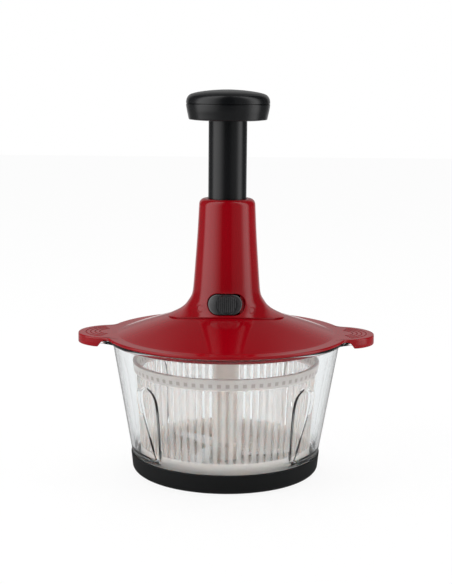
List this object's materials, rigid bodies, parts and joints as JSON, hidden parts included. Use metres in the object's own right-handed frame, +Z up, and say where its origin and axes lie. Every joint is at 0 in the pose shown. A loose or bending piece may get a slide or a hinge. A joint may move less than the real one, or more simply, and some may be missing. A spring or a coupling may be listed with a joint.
{
  "type": "push-down food chopper",
  "caption": "Push-down food chopper: red domed lid with a plunger and lock button in its neck, clear bowl with finger grips, slotted milky basket, blade column and black base ring.",
  "frame": {"origin": "centre of the base ring's underside, on the surface that the chopper stands on", "axes": "+Z up along the plunger, +X towards the right ear, -Y towards the front where the lock button is"},
  "size_m": [0.237, 0.192, 0.3055],
  "materials": {
    "red_plastic": "glossy moulded plastic, lid and neck",
    "black_plastic": "satin moulded plastic, knob and plunger tube",
    "charcoal_plastic": "satin moulded plastic, lock button",
    "black_rubber": "soft matt rubber, base ring",
    "clear_plastic": "clear glossy plastic, bowl",
    "milky_plastic": "translucent milky plastic, basket and column",
    "cream_plastic": "cream plastic",
    "white_plastic": "white plastic, hidden mechanism",
    "silicone": "soft pale silicone, seal",
    "steel": "stainless steel, blades, pins, rod, spring and screws"
  },
  "bodies": {
    "base": {"base_ring": "black_rubber"},
    "bowl": {"bowl": "clear_plastic", "bowl_pivot_pin": "steel"},
    "basket": {"basket": "milky_plastic"},
    "rotor": {"blade_column": "milky_plastic", "column_core": "cream_plastic", "blade_lower": "steel", "blade_middle": "steel", "blade_upper": "steel"},
    "lid": {"lid_dome": "red_plastic", "lid_seal": "silicone", "neck_housing": "red_plastic", "guide_bush": "white_plastic", "mechanism_cover": "white_plastic", "cover_screw_1": "steel", "cover_screw_2": "steel", "cover_screw_3": "steel", "cover_screw_4": "steel", "neck_screw_left": "steel", "neck_screw_right": "steel", "spindle_bush": "cream_plastic", "thrust_washer": "steel"},
    "lock": {"lock_button": "charcoal_plastic", "latch_hook": "charcoal_plastic"},
    "spindle": {"spiral_rod": "steel", "drive_coupler": "white_plastic", "coupler_pin": "steel"},
    "plunger": {"plunger_tube": "black_plastic", "drive_nut": "white_plastic", "knob_base": "black_plastic", "knob_cap": "black_plastic", "knob_screw": "steel", "return_spring": "steel"}
  },
  "joints": [
    {"name": "bowl_lift", "type": "slide", "parent": "base", "child": "bowl", "axis": [0, 0, 1], "range_m": [0, 0.04]},
    {"name": "basket_lift", "type": "slide", "parent": "bowl", "child": "basket", "axis": [0, 0, 1], "range_m": [0, 0.11]},
    {"name": "lid_lift", "type": "slide", "parent": "basket", "child": "lid", "axis": [0, 0, 1], "range_m": [0, 0.08]},
    {"name": "rotor_spin", "type": "hinge", "parent": "basket", "child": "rotor", "pos_m": [0, 0, 0.0106], "axis": [0, 0, 1], "range_deg": [0, 522.1]},
    {"name": "plunger_press", "type": "slide", "parent": "lid", "child": "plunger", "axis": [0, 0, -1], "range_m": [0, 0.058], "stiffness_N_per_m": 300, "springref_m": -0.012, "deforming": ["return_spring"]},
    {"name": "spindle_spin", "type": "hinge", "parent": "lid", "child": "spindle", "pos_m": [0, 0, 0.1244], "axis": [0, 0, 1], "range_deg": [0, 522.1]},
    {"name": "lock_slide", "type": "slide", "parent": "lid", "child": "lock", "axis": [1, 0, 0], "range_m": [0, 0.002]}
  ],
  "couplings": [
    {"joint": "spindle_spin", "follows": "plunger_press", "rad_per_m": 157.08},
    {"joint": "rotor_spin", "follows": "plunger_press", "rad_per_m": 157.08}
  ]
}
